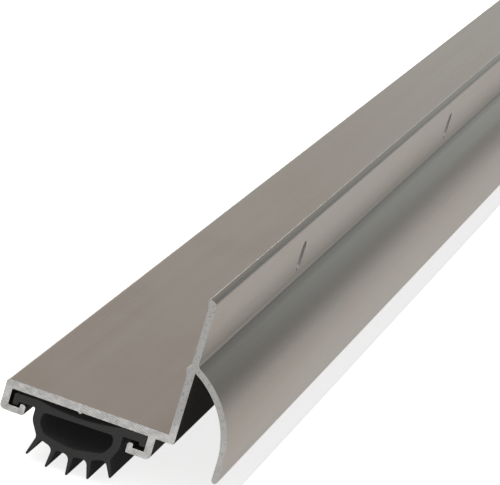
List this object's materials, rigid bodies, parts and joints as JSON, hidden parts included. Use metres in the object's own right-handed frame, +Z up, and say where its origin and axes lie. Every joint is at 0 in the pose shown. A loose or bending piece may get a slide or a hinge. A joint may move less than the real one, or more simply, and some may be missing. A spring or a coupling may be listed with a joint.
{
  "type": "door bottom sweep",
  "caption": "L-shaped aluminium door bottom with a curved drip nose, vertical screw slots and a hollow finned vinyl seal in a channel under the plate.",
  "frame": {"origin": "inside corner where the top of the plate meets the web's door-side face, at mid length; the door's lower edge sits here", "axes": "+X out of the door's face towards the weather side and the drip nose, +Y along the sweep, +Z up the door's face"},
  "size_m": [0.0567, 0.908, 0.0536],
  "materials": {
    "aluminium": "satin anodised, warm nickel grey, with saw-cut ends",
    "vinyl": "matt charcoal flexible vinyl"
  },
  "bodies": {
    "carrier": {"aluminium_carrier": "aluminium"},
    "seal": {"vinyl_seal": "vinyl"}
  },
  "joints": [
    {"name": "seal_slide", "type": "slide", "parent": "carrier", "child": "seal", "axis": [0, -1, 0], "range_m": [-0.92, 0.92]}
  ]
}
